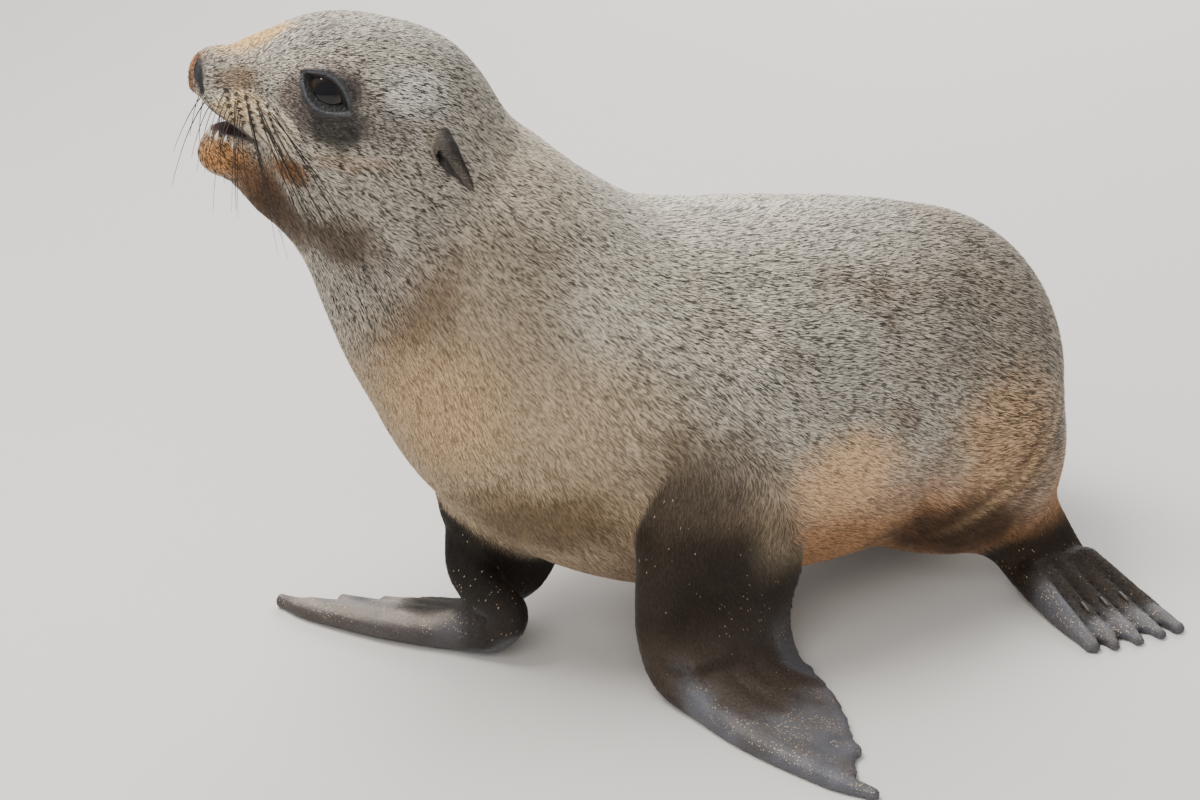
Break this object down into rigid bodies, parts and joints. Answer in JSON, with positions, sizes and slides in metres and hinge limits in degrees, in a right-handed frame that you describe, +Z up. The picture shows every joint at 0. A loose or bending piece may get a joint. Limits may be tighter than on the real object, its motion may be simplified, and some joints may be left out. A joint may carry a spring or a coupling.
{
  "type": "fur seal model",
  "caption": "Life-size still display model of a young fur seal on its flippers, head raised and mouth a little open, for a museum or room setting",
  "frame": {"origin": "on the floor, under the middle of the model's bounding box", "axes": "+X to the animal's left, -Y forward along the body, +Z up"},
  "size_m": [0.3708, 0.4674, 0.3305],
  "materials": {
    "coat": "short flat grizzled fur",
    "flipper_skin": "bare dark flipper skin, matt",
    "eye": "wet gloss",
    "claw": "horn, dull",
    "teeth": "enamel"
  },
  "bodies": {
    "root": {"claw_left_2": "claw", "claw_left_3": "claw", "claw_left_4": "claw", "claw_right_2": "claw", "claw_right_3": "claw", "claw_right_4": "claw", "ear_left": "coat", "ear_right": "coat", "eye_left": "eye", "eye_right": "eye", "fore_flipper_left": "flipper_skin", "fore_flipper_right": "flipper_skin", "forearm_left": "coat", "forearm_right": "coat", "head": "coat", "hind_flipper_left": "flipper_skin", "hind_flipper_right": "flipper_skin", "hind_leg_left": "coat", "hind_leg_right": "coat", "hindquarters": "coat", "jaw": "coat", "neck": "coat", "tail": "coat", "trunk": "coat"}
  },
  "joints": []
}
